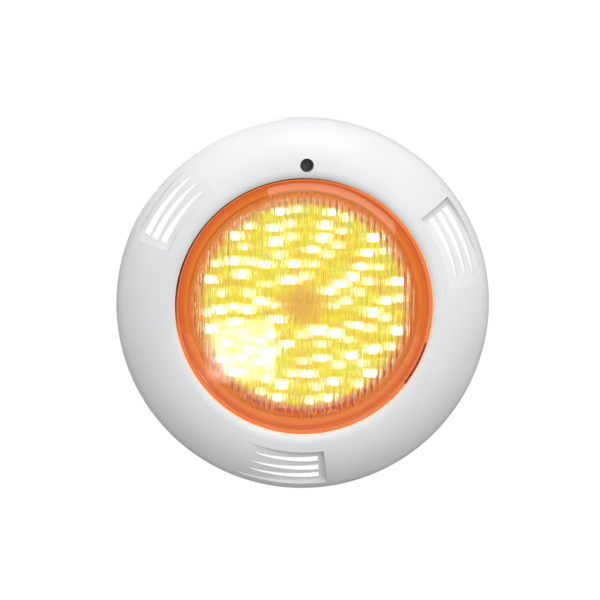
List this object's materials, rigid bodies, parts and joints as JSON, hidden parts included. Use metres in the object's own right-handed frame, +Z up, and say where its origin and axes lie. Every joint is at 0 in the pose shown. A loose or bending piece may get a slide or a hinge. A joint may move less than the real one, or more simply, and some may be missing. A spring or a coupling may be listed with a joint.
{
  "type": "underwater pool light",
  "caption": "Round wall-mounted pool light: vented white face ring, fluted domed lens lit amber by an LED board, sealed rear can and cable gland.",
  "frame": {"origin": "centre of the face ring's back rim, the plane that lies against the niche or pool wall", "axes": "+Z up, +Y into the wall along the lamp's axis, so the lit face looks towards -Y"},
  "size_m": [0.256, 0.137, 0.256],
  "materials": {
    "ring_plastic": "satin moulded white",
    "housing_plastic": "moulded off-white",
    "lens_glass": "clear, fluted inside",
    "silicone": "soft translucent white",
    "black_rubber": "black elastomer",
    "bowl_plastic": "white reflector lit amber",
    "board_mask": "white solder mask",
    "driver_mask": "green solder mask",
    "led_red": "clear epoxy, lit red",
    "led_green": "clear epoxy, lit green",
    "led_blue": "clear epoxy, not lit",
    "chip_black": "black epoxy",
    "capacitor_sleeve": "dark sleeve",
    "ferrite": "dark sintered",
    "wire_sheath": "silicone sheath",
    "base_ceramic": "unglazed white",
    "brass": "turned",
    "stainless": "brushed and passivated",
    "gland_nylon": "moulded black nylon"
  },
  "bodies": {
    "root": {"face_ring": "ring_plastic", "face_gasket": "silicone", "lamp_lens": "lens_glass", "lens_seal": "silicone", "lamp_bowl": "bowl_plastic", "lamp_gasket": "silicone", "led_board": "board_mask", "leds_red": "led_red", "leds_green": "led_green", "leds_blue": "led_blue", "board_screws": "brass", "board_spacers": "brass", "driver_board": "driver_mask", "driver_screws": "brass", "bridge_rectifier": "chip_black", "driver_capacitors": "capacitor_sleeve", "driver_inductor": "ferrite", "controller_chip": "chip_black", "driver_leads": "wire_sheath", "lamp_base": "base_ceramic", "lamp_terminals": "brass", "terminal_screws": "brass", "rear_housing": "housing_plastic", "clamp_ring": "stainless", "clamp_screws": "stainless", "niche_hook": "stainless", "hook_screws": "stainless", "gland_body": "gland_nylon", "gland_washer": "black_rubber", "gland_locknut": "gland_nylon", "gland_seal": "black_rubber"},
    "pilot_carrier": {"pilot_clip": "stainless"},
    "pilot_screw": {"pilot_screw": "stainless"},
    "gland_follower": {"gland_slip_ring": "brass"},
    "gland_nut": {"gland_nut": "gland_nylon"}
  },
  "joints": [
    {"name": "pilot_slide", "type": "slide", "parent": "root", "child": "pilot_carrier", "axis": [0, -1, 0], "range_m": [0, 0.004]},
    {"name": "pilot_turn", "type": "hinge", "parent": "pilot_carrier", "child": "pilot_screw", "pos_m": [0, 0, 0.0963], "axis": [0, -1, 0], "range_deg": [0, 1800]},
    {"name": "gland_slide", "type": "slide", "parent": "root", "child": "gland_follower", "axis": [0, 1, 0], "range_m": [0, 0.003]},
    {"name": "gland_turn", "type": "hinge", "parent": "gland_follower", "child": "gland_nut", "pos_m": [0, 0, -0.03], "axis": [0, 1, 0], "range_deg": [0, 720]}
  ],
  "couplings": [
    {"joint": "pilot_turn", "follows": "pilot_slide", "rad_per_m": 7854},
    {"joint": "gland_turn", "follows": "gland_slide", "rad_per_m": 4188.8}
  ]
}
